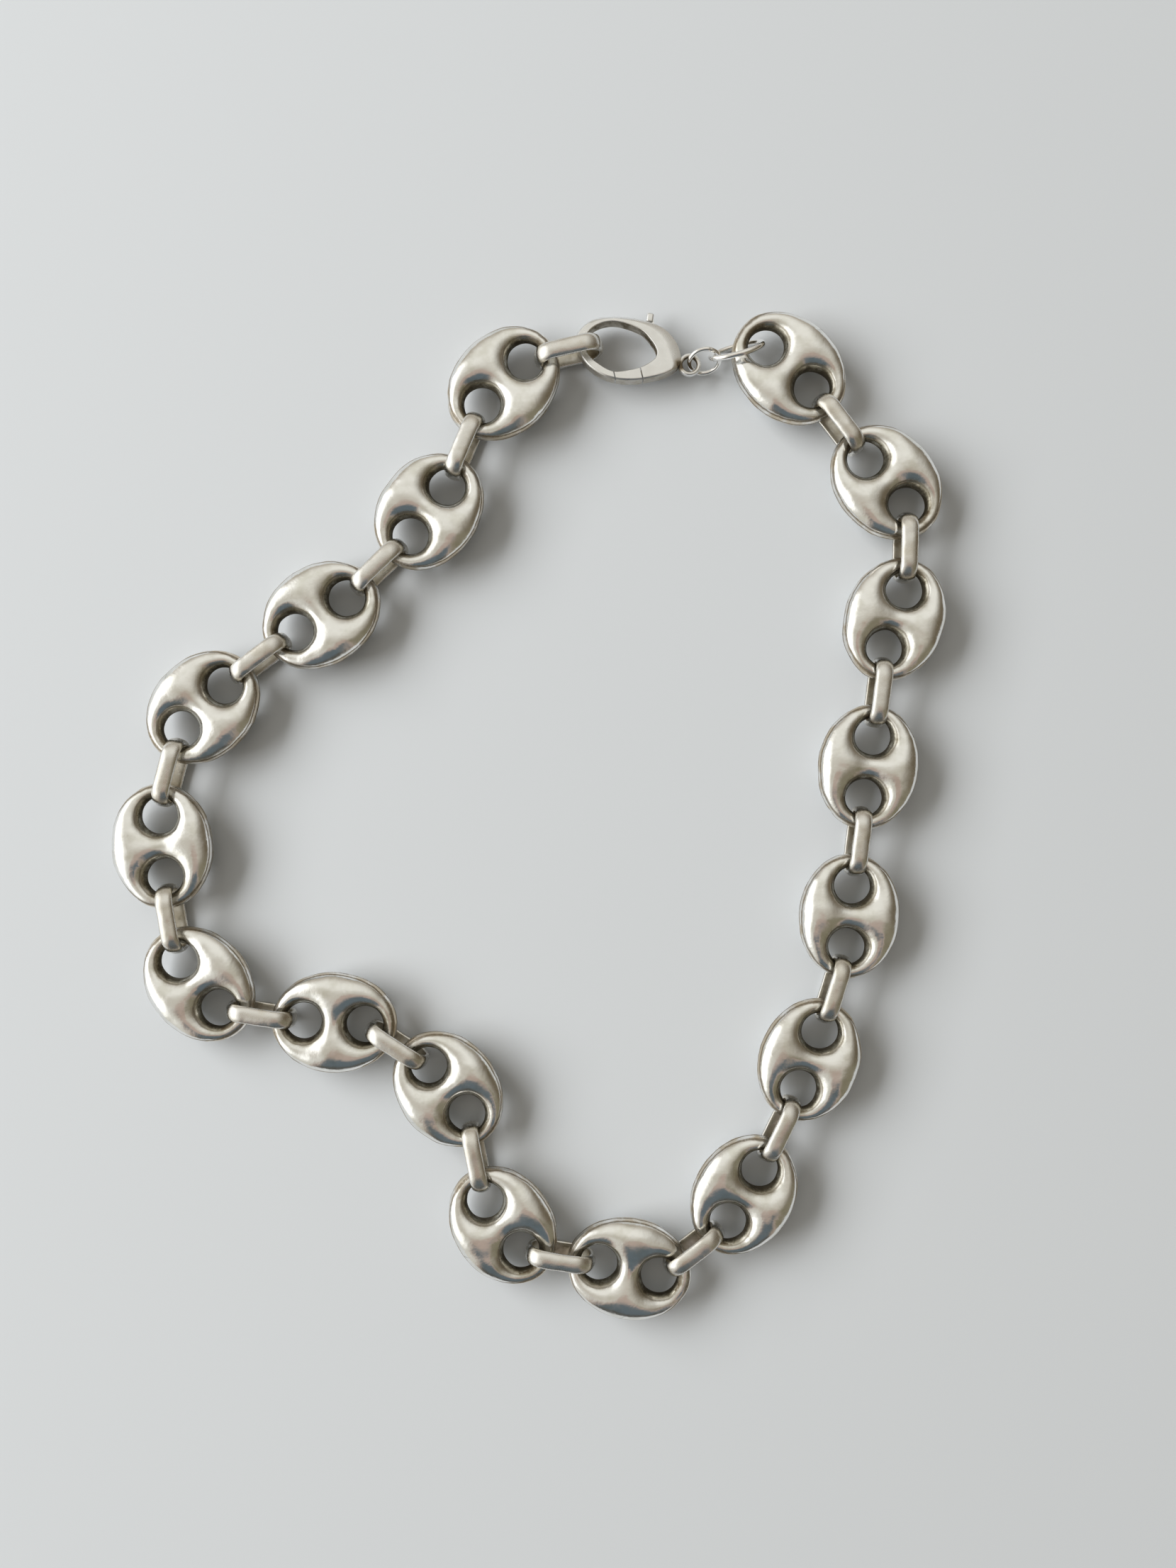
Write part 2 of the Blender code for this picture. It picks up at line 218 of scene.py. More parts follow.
def link_height(x, y):
    """Height of the upper half: a full oval that sinks into two trumpet holes and a saddle between them."""
    oval = np.hypot(x / (LINK_LENGTH / 2), y / (LINK_WIDTH / 2))
    rise = np.maximum(1 - oval ** LINK_FULLNESS, 0) ** LINK_EDGE
    for side in (-1, 1):
        away = np.maximum(np.hypot(x - side * HOLE_SPACING / 2, y), HOLE_RADIUS)
        rise = rise * (1 - (HOLE_RADIUS / away) ** FUNNEL_SPREAD) ** FUNNEL_EDGE
    return LINK_SWELL * rise


def ray_reach(angle):
    """Distance from a hole's middle to the link's edge, or to the line halfway between the holes."""
    across, up = math.cos(angle), math.sin(angle)
    start = HOLE_SPACING / 2
    a = (across / (LINK_LENGTH / 2)) ** 2 + (up / (LINK_WIDTH / 2)) ** 2
    b = 2 * start * across / (LINK_LENGTH / 2) ** 2
    c = (start / (LINK_LENGTH / 2)) ** 2 - 1
    edge = (-b + math.sqrt(b * b - 4 * a * c)) / (2 * a)
    if across < 0:
        edge = min(edge, -start / across)
    return edge


def link_template():
    """One link about its own middle, with holes along X. Each quarter is a fan of rays round its hole."""
    corner = math.atan2(LINK_WIDTH / 2, -HOLE_SPACING / 2)
    outer = np.linspace(-corner, corner, RAYS_ROUND + 1)
    across = LINK_WIDTH / 2 * np.cos(np.linspace(0, math.pi, RAYS_BRIDGE + 1)[1:-1])
    bridge = np.arctan2(across, -HOLE_SPACING / 2) % (2 * math.pi)
    angles = np.concatenate([outer, bridge])
    rows = STEPS_ALONG_RAY + 1
    points = []
    for angle in angles:
        reach = ray_reach(angle)
        end = np.array([HOLE_SPACING / 2 + reach * math.cos(angle)]), np.array([reach * math.sin(angle)])
        full = math.pi * (1 - 0.5 * min(1, link_height(*end)[0] / SADDLE_HEIGHT) ** 2)
        phase = np.linspace(0, full, rows)
        out = HOLE_RADIUS + (reach - HOLE_RADIUS) * (1 - np.cos(phase)) / (1 - math.cos(full))
        x = HOLE_SPACING / 2 + out * math.cos(angle)
        y = out * math.sin(angle)
        points += list(zip(x, y, link_height(x, y)))
    upper = np.array(points)
    on_edge = np.hypot(upper[:, 0] / (LINK_LENGTH / 2), upper[:, 1] / (LINK_WIDTH / 2)) > 0.99999
    upper[on_edge, 2] = 0
    points = np.concatenate([upper, upper * (1, 1, -1)])
    faces = []
    count = len(angles)
    for ray in range(count):
        following = (ray + 1) % count
        for step in range(rows - 1):
            a, b = ray * rows + step, following * rows + step
            faces.append((a, a + 1, b + 1, b))
            shift = len(upper)
            faces.append((b + shift, b + 1 + shift, a + 1 + shift, a + shift))
    whole = len(points)
    points = np.concatenate([points, points * (-1, -1, 1)])
    faces += [tuple(index + whole for index in face) for face in faces]
    return mesh_from("link_template", points, faces)


def link_marks(points):
    """How deep in a hole, and how near the seam round the middle, each point of a link lies."""
    depth = np.zeros(len(points))
    for side in (-1, 1):
        out = np.hypot(points[:, 0] - side * HOLE_SPACING / 2, points[:, 1]) - HOLE_RADIUS
        depth = np.maximum(depth, 1 - out / (1.6 * MM))
    oval = np.hypot(points[:, 0] / (LINK_LENGTH / 2), points[:, 1] / (LINK_WIDTH / 2))
    near_seam = np.clip(1 - np.abs(points[:, 2]) / SEAM_HEIGHT, 0, 1)
    return {"hollow": np.clip(depth, 0, 1), "seam": near_seam * (oval > 0.8)}


def dented(points, normals, draw, count, radius, depth, among):
    """Small hollows pressed into the surface at random points."""
    total = np.zeros(len(points))
    for index in draw.choice(among, size=count):
        size = radius * draw.uniform(0.6, 1.5)
        away = np.linalg.norm(points - points[index], axis=1) / size
        total += depth * draw.uniform(0.3, 1.0) * np.exp(-away ** 2)
    return points - normals * total[:, None]


def add_links():
    template = link_template()
    local = points_of(template)
    local_normals = normals_of(template)
    marks = link_marks(local)
    everywhere = np.arange(len(local))
    on_seam = np.flatnonzero(marks["seam"] > 0.35)
    groove = marks["seam"] > 0.99
    for number in range(1, 18):
        node = f"puffed_link_{number:02}"
        place = level_placement(node)
        points = moved(local, place)
        normals = local_normals @ np.array(place.to_3x3()).T
        draw = np.random.default_rng(number)
        swell = 0.045 * MM * waves(points, 6 * MM, 3) + 0.020 * MM * waves(points, 2.8 * MM, 4)
        swell -= SEAM_GROOVE * groove * np.clip(1 + waves(points, 1.5 * MM, 5), 0, 2)
        points = points + normals * swell[:, None]
        points = dented(points, normals, draw, 7, 0.55 * MM, 0.04 * MM, everywhere)
        points = dented(points, normals, draw, 9, 0.30 * MM, 0.12 * MM, on_seam)
        add_piece(f"link_{number:02}", template, points, node, link_silver, marks)


# Connectors

def connector_template():
    """Half-round wire bent into an oblong loop that stands on its edge, with X along its length."""
    radius = CONNECTOR_HEIGHT / 2 - WIRE_THICKNESS
    straight = CONNECTOR_LENGTH / 2 - WIRE_THICKNESS - radius
    path = []
    for end in (1, -1):
        for step in range(ARC_STEPS + 1):
            angle = -math.pi / 2 + math.pi * step / ARC_STEPS
            out = np.array([math.cos(angle), math.sin(angle)]) * end
            path.append((np.array([end * straight, 0]) + out * radius, out))
        for step in range(1, RUN_STEPS):
            share = 1 - 2 * step / RUN_STEPS
            path.append((np.array([end * straight * share, end * radius]), np.array([0, end])))
    half = WIRE_WIDTH / 2
    section = []
    for step in range(CROWN_STEPS + 1):
        angle = math.pi * step / CROWN_STEPS
        rise = WIRE_SHOULDER + (WIRE_THICKNESS - WIRE_SHOULDER) * math.sin(angle)
        section.append((rise, half * math.cos(angle)))
    for share in (0.35, 0.12):
        section.append((WIRE_SHOULDER * share, -half * (1 - 0.12 * (1 - share))))
    for across in (-0.8, -0.4, 0, 0.4, 0.8):
        section.append((0, half * across))
    for share in (0.12, 0.35):
        section.append((WIRE_SHOULDER * share, half * (1 - 0.12 * (1 - share))))
    points = []
    for middle, out in path:
        for rise, across in section:
            spot = middle + out * rise
            points.append((spot[0], across, spot[1]))
    around, count = len(section), len(path)
    faces = []
    for place in range(count):
        following = (place + 1) % count
        for step in range(around):
            ahead = (step + 1) % around
            a, b = place * around, following * around
            faces.append((a + step, a + ahead, b + ahead, b + step))
    return mesh_from("connector_template", points, faces)


def add_connectors():
    template = connector_template()
    local = points_of(template)
    local_normals = normals_of(template)
    inner = np.abs(local_normals[:, 1]) < 0.5
    radius = CONNECTOR_HEIGHT / 2 - WIRE_THICKNESS
    straight = CONNECTOR_LENGTH / 2 - WIRE_THICKNESS - radius
    nearest = np.clip(local[:, 0], -straight, straight)
    from_spine = np.hypot(local[:, 0] - nearest, local[:, 2])
    hollow = np.clip((radius + 0.15 * MM - from_spine) / (0.15 * MM), 0, 1) * inner
    edge = np.clip((np.abs(local[:, 1]) - 0.8 * WIRE_WIDTH / 2) / (0.2 * WIRE_WIDTH / 2), 0, 1)
    for number in range(17):
        node = f"connector_{number:02}"
        place = level_placement(node)
        draw = np.random.default_rng(100 + number)
        shaped = local.copy()
        lump_at = draw.uniform(-2.0, 2.0) * MM
        side = 1
        away = np.hypot(shaped[:, 0] - lump_at, shaped[:, 1]) / (0.8 * MM)
        crown = (shaped[:, 2] * side > radius + 0.5 * WIRE_THICKNESS)
        lump = draw.uniform(-0.05, 0.10) * MM * np.exp(-away ** 2) * crown
        shaped[:, 2] += side * lump
        points = moved(shaped, place)
        normals = local_normals @ np.array(place.to_3x3()).T
        swell = 0.02 * MM * waves(points, 4 * MM, 5) + 0.008 * MM * waves(points, 1.5 * MM, 6)
        points = points + normals * swell[:, None]
        marks = {"hollow": np.maximum(0.6 * hollow, 0.4 * edge), "seam": np.zeros(len(points))}
        add_piece(
            f"half_round_connector_{number:02}", template, points, node, connector_silver, marks,
        )


# Clasp

def smooth_loop(points, steps=10):
    """A smooth closed curve through points given in millimetres."""
    p = np.array(points) * MM
    before, ahead, beyond = np.roll(p, 1, axis=0), np.roll(p, -1, axis=0), np.roll(p, -2, axis=0)
    share = np.linspace(0, 1, steps, endpoint=False)[:, None, None]
    curve = 2 * p + (ahead - before) * share
    curve = curve + (2 * before - 5 * p + 4 * ahead - beyond) * share ** 2
    curve = curve + (3 * p - before - 3 * ahead + beyond) * share ** 3
    return (curve / 2).transpose(1, 0, 2).reshape(-1, 2)


def reach_at(loop, angles):
    """Distance of a closed curve from the clasp's middle at each angle, and how it leans against the ray there."""
    away = loop - CLASP_MIDDLE
    turned = np.arctan2(away[:, 1], away[:, 0])
    reach = np.interp(angles, turned[np.argsort(turned)], np.hypot(*away.T)[np.argsort(turned)], period=2 * math.pi)
    lean = np.arctan(np.gradient(np.concatenate([reach[-1:], reach, reach[:1]]))[1:-1] / (angles[1] - angles[0]) / reach)
    return reach, lean


def clasp_plate():
    """The clasp's whole oval, before it is cut: its far shoulder is wide and soft, and its near one is crisp."""
    angles = np.linspace(-math.pi, math.pi, CLASP_ROWS, endpoint=False)
    inner, inner_lean = reach_at(smooth_loop(CLASP_OPENING), angles)
    outer, outer_lean = reach_at(smooth_loop(CLASP_OUTLINE), angles)
    width = (outer - inner) * np.cos(outer_lean)
    facing = np.clip(np.cos(angles - outer_lean - FAR_SIDE), 0, 1) ** 0.8
    shoulder = np.minimum(NEAR_SHOULDER + (FAR_SHOULDER - NEAR_SHOULDER) * facing, 0.5 * width)
    drop = NEAR_SHOULDER + (FAR_SHOULDER_DROP - NEAR_SHOULDER) * facing
    inner_edge = INNER_SHOULDER / np.cos(inner_lean)
    outer_edge = shoulder / np.cos(outer_lean)
    columns = [(inner, 0 * inner), (inner, (CLASP_HALF - INNER_SHOULDER) * np.ones(CLASP_ROWS))]
    for step in range(1, SHOULDER_STEPS):
        turn = math.pi / 2 * step / SHOULDER_STEPS
        rise = CLASP_HALF - INNER_SHOULDER * (1 - math.sin(turn))
        columns.append((inner + inner_edge * (1 - math.cos(turn)), rise * np.ones(CLASP_ROWS)))
    for share in np.linspace(0, 1, FACE_STEPS + 1):
        across = (inner + inner_edge) * (1 - share) + (outer - outer_edge) * share
        columns.append((across, CLASP_HALF * np.ones(CLASP_ROWS)))
    for step in range(SHOULDER_STEPS - 1, -1, -1):
        share = step / SHOULDER_STEPS
        columns.append((outer - outer_edge * share, CLASP_HALF - drop * (1 - share) ** SHOULDER_BEND))
    columns.append((outer, 0 * outer))
    columns += [(across, -rise) for across, rise in columns[-2:0:-1]]
    points = []
    for across, rise in columns:
        points.append(np.stack([
            CLASP_MIDDLE[0] + across * np.cos(angles), CLASP_MIDDLE[1] + across * np.sin(angles), rise,
        ], axis=1))
    return mesh_from("clasp_plate", np.concatenate(points), wrapped_grid(len(columns), CLASP_ROWS))


def wrapped_grid(rows, columns):
    """Faces of a grid of points that closes on itself both ways."""
    faces = []
    for row in range(rows):
        for column in range(columns):
            a, b = row * columns, (row + 1) % rows * columns
            ahead = (column + 1) % columns
            faces.append((a + column, a + ahead, b + ahead, b + column))
    return faces


def prism(name, outline, half):
    """A straight-sided block over a flat outline given in millimetres."""
    flat = np.array(outline) * MM
    count = len(flat)
    points = [(x, y, half) for x, y in flat] + [(x, y, -half) for x, y in flat]
    faces = [tuple(range(count)), tuple(range(2 * count - 1, count - 1, -1))]
    for corner in range(count):
        ahead = (corner + 1) % count
        faces.append((corner, corner + count, ahead + count, ahead))
    return mesh_from(name, points, faces)


def gate_stretch(name, clearance):
    """A block over the stretch that the gate closes, narrower than its two slits by the clearance."""
    inset = clearance / MM
    tip = [(x + inset, y) for x, y in GATE_TIP]
    heel = [(x - inset, y) for x, y in reversed(GATE_HEEL)]
    return prism(name, tip + heel, 2 * CLASP_HALF)


def round_bar(name, radius, half, middle):
    made = bmesh.new()
    bmesh.ops.create_cone(
        made, cap_ends=True, segments=EYE_STEPS, radius1=radius, radius2=radius, depth=2 * half,
        matrix=Matrix.Translation(middle),
    )
    mesh = bpy.data.meshes.new(name)
    made.to_mesh(mesh)
    made.free()
    mesh.shade_smooth()
    return mesh


def eye_mesh():
    """A thick ring with rounded rims."""
    middle = (EYE_RADIUS + EYE_HOLE_RADIUS) / 2
    half_width = (EYE_RADIUS - EYE_HOLE_RADIUS) / 2
    points = []
    for step in range(EYE_STEPS // 2):
        turn = 4 * math.pi * step / EYE_STEPS
        across = math.copysign(abs(math.cos(turn)) ** (2 / EYE_SHAPE), math.cos(turn))
        rise = math.copysign(abs(math.sin(turn)) ** (2 / EYE_SHAPE), math.sin(turn))
        for place in range(EYE_STEPS):
            angle = 2 * math.pi * place / EYE_STEPS
            reach = middle + half_width * across
            points.append((reach * math.cos(angle), reach * math.sin(angle), EYE_HALF * rise))
    mesh = mesh_from("eye", points, wrapped_grid(EYE_STEPS // 2, EYE_STEPS))
    mesh.transform(Matrix.Translation(EYE_MIDDLE))
    return mesh


def rounded_block(name, size, rounding, middle):
    made = bmesh.new()
    bmesh.ops.create_cube(made, size=1, matrix=Matrix.Translation(middle) @ Matrix.Diagonal((*size, 1)))
    bmesh.ops.bevel(made, geom=made.edges, offset=rounding, segments=5, profile=0.5, affect="EDGES")
    mesh = bpy.data.meshes.new(name)
    made.to_mesh(mesh)
    made.free()
    mesh.shade_smooth()
    return mesh


def combined(name, mesh, changes):
    """A mesh with each (operation, other mesh) applied in turn."""
    blank = bpy.data.objects.new(name, mesh)
    bpy.context.scene.collection.objects.link(blank)
    others = []
    for number, (operation, other) in enumerate(changes):
        tool = bpy.data.objects.new(f"{name}_tool_{number}", other)
        bpy.context.scene.collection.objects.link(tool)
        others.append(tool)
        step = blank.modifiers.new(f"{operation.lower()}_{number}", "BOOLEAN")
        step.operation = operation
        step.solver = "EXACT"
        step.object = tool
    bpy.context.view_layer.update()
    graph = bpy.context.evaluated_depsgraph_get()
    made = bpy.data.meshes.new_from_object(blank.evaluated_get(graph))
    made.name = name
    for item in [blank, *others]:
        bpy.data.objects.remove(item)
    made.shade_smooth()
    made.set_sharp_from_angle(angle=math.radians(35))
    return made


def pin_hole():
    return round_bar("pin_hole", PIN_HOLE_RADIUS, 2 * CLASP_HALF, PIVOT)


def clasp_marks(points):
    """Marks for the clasp: tarnish where the eye meets the body and inside the lever slot, painted shade on the
    opening's inner wall and on the near outer wall for the shaded floor they mirror, and partly tarnish, partly painted
    shade in the eye's hole.
    """
    away = points[:, :2] - CLASP_MIDDLE
    angles = np.arctan2(away[:, 1], away[:, 0])
    even = np.linspace(-math.pi, math.pi, CLASP_ROWS, endpoint=False)
    inner = np.interp(angles, even, reach_at(smooth_loop(CLASP_OPENING), even)[0], period=2 * math.pi)
    outer = np.interp(angles, even, reach_at(smooth_loop(CLASP_OUTLINE), even)[0], period=2 * math.pi)
    reach = np.hypot(*away.T)
    # Painted shade: the opening's inner wall is darkened to stand in for the shaded floor it mirrors.
    inner_wall_shade = 0.75 * np.clip(1 - np.abs(reach - inner) / (0.12 * MM), 0, 1)
    # Painted shade: the outer wall on the near side is darkened to stand in for the shaded floor it mirrors.
    outer_wall_shade = 0.6 * np.clip(1 - np.abs(reach - outer) / (0.12 * MM), 0, 1) * (points[:, 1] < 0)
    near_neck = np.clip(1.3 - np.hypot(points[:, 0] - 8.9 * MM, points[:, 1] + 1.4 * MM) / (1.3 * MM), 0, 1)
    from_eye = np.hypot(points[:, 0] - EYE_MIDDLE.x, points[:, 1] - EYE_MIDDLE.y)
    # Partly tarnish, partly painted shade: the eye's hole and its inner rim are darkened.
    in_eye = np.clip((1.65 * MM - from_eye) / (0.4 * MM), 0, 1)
    inside = (np.abs(points[:, 2]) < 1.01 * LEVER_SLOT_HALF) * (points[:, 0] > 1.6 * MM) * (points[:, 0] < 8.0 * MM)
    inside = inside * (reach < outer - 0.1 * MM)
    hollow = np.max([inner_wall_shade, outer_wall_shade, near_neck, in_eye, 0.7 * inside], axis=0)
    return {"hollow": hollow, "seam": np.zeros(len(points))}


def add_clasp():
    low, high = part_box("clasp_pin")
    place = Matrix.Translation((low + high) / 2) @ Matrix.Rotation(CLASP_HEADING, 4, "Z") @ Matrix.Translation(-PIVOT)
    body = combined("clasp_body_made", clasp_plate(), [
        ("DIFFERENCE", gate_stretch("mouth", -GATE_SLIT / 2)),
        ("DIFFERENCE", prism("lever_slot", LEVER_SLOT_OUTLINE, LEVER_SLOT_HALF)),
        ("UNION", eye_mesh()),
    ])
    gate = combined("clasp_gate_made", clasp_plate(), [
        ("INTERSECT", gate_stretch("gate_stretch", GATE_SLIT / 2)),
        ("UNION", prism("lever", LEVER_OUTLINE, LEVER_HALF)),
        ("UNION", rounded_block("trigger", TRIGGER_SIZE, TRIGGER_ROUNDING, TRIGGER_MIDDLE)),
        ("DIFFERENCE", pin_hole()),
    ])
    pin = round_bar("clasp_pin_made", PIN_RADIUS, 0.98 * LEVER_SLOT_HALF, PIVOT)
    for name, mesh, node in (
        ("lobster_clasp_body", body, "clasp_body"),
        ("lobster_clasp_gate", gate, "clasp_gate"),
        ("lobster_clasp_pin", pin, "clasp_pin"),
    ):
        local = points_of(mesh)
        add_piece(name, mesh, moved(local, place), node, clasp_silver, clasp_marks(local))


# Jump rings

def add_ring(name, node, length, width, wire, seam_at):
    """A closed oval of round wire, soldered at one fine seam, lying as its node lies."""
    centre, axes = placement(node)
    turn = np.linspace(0, 2 * math.pi, RING_STEPS, endpoint=False)
    spine = np.outer(np.cos(turn) * length / 2, axes[:, 0]) + np.outer(np.sin(turn) * width / 2, axes[:, 1])
    onward = np.roll(spine, -1, axis=0) - np.roll(spine, 1, axis=0)
    onward /= np.linalg.norm(onward, axis=1)[:, None]
    outward = np.cross(onward, axes[:, 2])
    along = (turn - seam_at + math.pi) % (2 * math.pi) - math.pi
    radius = wire / 2 - RING_SEAM * np.exp(-(along * length / 2 / (0.09 * MM)) ** 2)
    points = []
    for row in range(RING_AROUND):
        angle = 2 * math.pi * row / RING_AROUND
        points.append(centre + spine + radius[:, None] * (outward * math.cos(angle) + axes[:, 2] * math.sin(angle)))
    points = np.concatenate(points)
    template = mesh_from(f"{name}_made", points, wrapped_grid(RING_AROUND, RING_STEPS))
    points = points_of(template)
    points += normals_of(template) * 0.012 * MM * waves(points, 2.5 * MM, 9)[:, None]
    seam = np.tile(np.exp(-(along * length / 2 / (0.25 * MM)) ** 2), RING_AROUND)
    add_piece(name, template, points, node, ring_silver, {"hollow": 0.5 * seam, "seam": 0 * seam})


# Materials

class Tree:
    """Short calls for the nodes of one material."""

    def __init__(self, name):
        self.material = bpy.data.materials.new(name)
        self.material.use_nodes = True
        self.nodes = self.material.node_tree.nodes
        self.links = self.material.node_tree.links
        self.surface = self.nodes["Principled BSDF"]

    def add(self, kind, inputs=(), **settings):
        node = self.nodes.new(kind)
        for key, value in settings.items():
            setattr(node, key, value)
        for socket, value in dict(inputs).items():
            if isinstance(value, bpy.types.NodeSocket):
                self.links.new(value, node.inputs[socket])
            else:
                node.inputs[socket].default_value = value
        return node

    def math(self, operation, first, second=0.0, third=0.0):
        node = self.add("ShaderNodeMath", {0: first, 1: second, 2: third}, operation=operation)
        return node.outputs[0]

    def attribute(self, name):
        return self.add("ShaderNodeAttribute", attribute_name=name).outputs["Fac"]

    def place(self):
        return self.add("ShaderNodeTexCoord").outputs["Object"]

    def noise(self, where, size, detail=2.0, roughness=0.5):
        inputs = {"Vector": where, "Scale": 1 / size, "Detail": detail, "Roughness": roughness}
        return self.add("ShaderNodeTexNoise", inputs).outputs[0]

    def ramp(self, value, low, high):
        """Nought below low, one above high, smooth between."""
        inputs = {"Value": value, "From Min": low, "From Max": high}
        node = self.add("ShaderNodeMapRange", inputs, interpolation_type="SMOOTHSTEP", clamp=True)
        return node.outputs[0]

    def mix(self, share, first, second):
        node = self.add("ShaderNodeMix", data_type="RGBA")
        for socket, value in ((0, share), (6, first), (7, second)):
            if isinstance(value, bpy.types.NodeSocket):
                self.links.new(value, node.inputs[socket])
            else:
                node.inputs[socket].default_value = value
        return node.outputs[2]

    def bump(self, height, distance, strength=1.0, below=None):
        inputs = {"Height": height, "Distance": distance, "Strength": strength}
        if below is not None:
            inputs["Normal"] = below
        return self.add("ShaderNodeBump", inputs).outputs[0]

    def give(self, socket, value):
        if isinstance(value, bpy.types.NodeSocket):
            self.links.new(value, self.surface.inputs[socket])
        else:
            self.surface.inputs[socket].default_value = value


def worn_and_shaded_silver(name, bright, warm, tarnish_and_shade_colour, darkest_colour, smoothness, wear, creased=0.0):
    """Old polished silver: soft dents and smears, olive tarnish in the hollows that is painted shade on the clasp's
    walls, near-black in the deepest hollows, a tan seam band that is partly filed finish and partly painted reflection
    of the shaded floor, and thin dark lines of painted shade in the creases.
    """
    tree = Tree(name)
    where = tree.place()
    cloud = tree.noise(where, 3.0 * MM, 3)
    blotch = tree.noise(where, 1.1 * MM, 3, 0.6)
    grain = tree.noise(where, 0.35 * MM, 4, 0.6)
    hollow = tree.attribute("hollow")
    uneven = tree.math("MULTIPLY_ADD", cloud, 0.7, tree.math("MULTIPLY_ADD", blotch, 0.5, -0.6))
    # Olive tarnish in the hollows; on the clasp's inner and near outer walls it is painted shade.
    tarnish_and_shade = tree.ramp(tree.math("ADD", hollow, uneven), 0.15, 0.85)
    # Near-black where the hollow mark is highest, deepest in the holes.
    darkest_edge = tree.math("ADD", tree.math("MULTIPLY_ADD", grain, 0.25, -0.125), uneven)
    darkest_share = tree.ramp(tree.math("ADD", hollow, darkest_edge), 0.63, 0.98)
    seam = tree.attribute("seam")
    patchy = tree.ramp(cloud, 0.34, 0.62)
    wobbly_seam = tree.math("MULTIPLY_ADD", blotch, 0.16, tree.math("SUBTRACT", seam, 0.08))
    # Tan seam band: partly the filed seam's dull finish, partly painted reflection of the shaded floor beside the link.
    seam_finish_and_shade = tree.math("MULTIPLY", tree.ramp(wobbly_seam, 0.18, 0.40), patchy)
    # Thin dark lines: painted shade in the creases at the seam band's edge and at the hole lips, and a dark joint along
    # the seam itself.
    rim_shade_line = tree.math("MULTIPLY", tree.ramp(wobbly_seam, 0.24, 0.33), tree.ramp(wobbly_seam, 0.52, 0.43))
    lines = tree.math("MAXIMUM", rim_shade_line, tree.ramp(wobbly_seam, 0.82, 0.95))
    wobbly_lip = tree.math("MULTIPLY_ADD", blotch, 0.14, tree.math("SUBTRACT", hollow, 0.07))
    lip_shade_line = tree.math("MULTIPLY", tree.ramp(wobbly_lip, 0.42, 0.50), tree.ramp(wobbly_lip, 0.64, 0.56))
    lines = tree.math("MAXIMUM", lines, tree.math("MULTIPLY", lip_shade_line, 0.7 * creased))
    lines = tree.math("MULTIPLY", lines, tree.ramp(grain, 0.15, 0.50))

    tint = tree.mix(tree.ramp(cloud, 0.42, 0.72), (*bright, 1), (*warm, 1))
    # Tan on the seam band, partly painted reflection of the shaded floor.
    tint = tree.mix(tree.math("MULTIPLY", seam_finish_and_shade, 0.65), tint, (0.56, 0.44, 0.28, 1))
    # Olive tarnish, and painted shade on the clasp's inner and near outer walls.
    tint = tree.mix(tree.math("MULTIPLY", tarnish_and_shade, 0.85), tint, (*tarnish_and_shade_colour, 1))
    # Near-black in the deepest hollows.
    tint = tree.mix(tree.math("MULTIPLY", darkest_share, 0.9), tint, (*darkest_colour, 1))
    # Dark lines: painted shade in the creases.
    tree.give("Base Color", tree.mix(tree.math("MULTIPLY", lines, 0.75), tint, (0.20, 0.155, 0.10, 1)))
    tree.give("Metallic", 1.0)

    smears = tree.ramp(tree.noise(where, 1.6 * MM, 5, 0.65), 0.35, 0.7)
    rough = tree.math("MULTIPLY_ADD", smears, 0.10, smoothness)
    rough = tree.math("MULTIPLY_ADD", tarnish_and_shade, 0.10, rough)
    rough = tree.math("MULTIPLY_ADD", darkest_share, 0.20, rough)
    rough = tree.math("MULTIPLY_ADD", seam_finish_and_shade, 0.15, rough)
    rough = tree.math("MULTIPLY_ADD", lines, 0.25, rough)
    tree.give("Roughness", rough)

    stretched = tree.add("ShaderNodeMapping", {"Vector": where, "Rotation": (0.3, 0.2, 0.7), "Scale": (1, 6, 3)})
    scratches = tree.noise(stretched.outputs[0], 0.9 * MM, 3, 0.6)
    relief = tree.bump(tree.noise(where, 1.3 * MM, 2), 0.035 * MM * wear)
    relief = tree.bump(tree.noise(where, 0.45 * MM, 2), 0.006 * MM * wear, 1.0, relief)
    relief = tree.bump(scratches, 0.002 * MM * wear, 1.0, relief)
    pitted = tree.math("MULTIPLY", tree.math("ADD", darkest_share, tree.ramp(seam, 0.4, 0.9)), grain)
    relief = tree.bump(pitted, 0.03 * MM, 1.0, relief)
    relief = tree.bump(tree.math("SUBTRACT", 1.0, lines), 0.010 * MM, 1.0, relief)
    tree.give("Normal", relief)
    return tree.material


# Stage

def add_floor():
    bpy.ops.mesh.primitive_plane_add(size=12, location=(0, 0, 0))
    floor = bpy.context.object
    floor.name = "pale_floor"
    tree = Tree("pale_floor")
    tree.give("Base Color", (0.655, 0.675, 0.695, 1))
    tree.give("Roughness", 0.9)
    tree.give("Specular IOR Level", 0.2)
    floor.data.materials.append(tree.material)


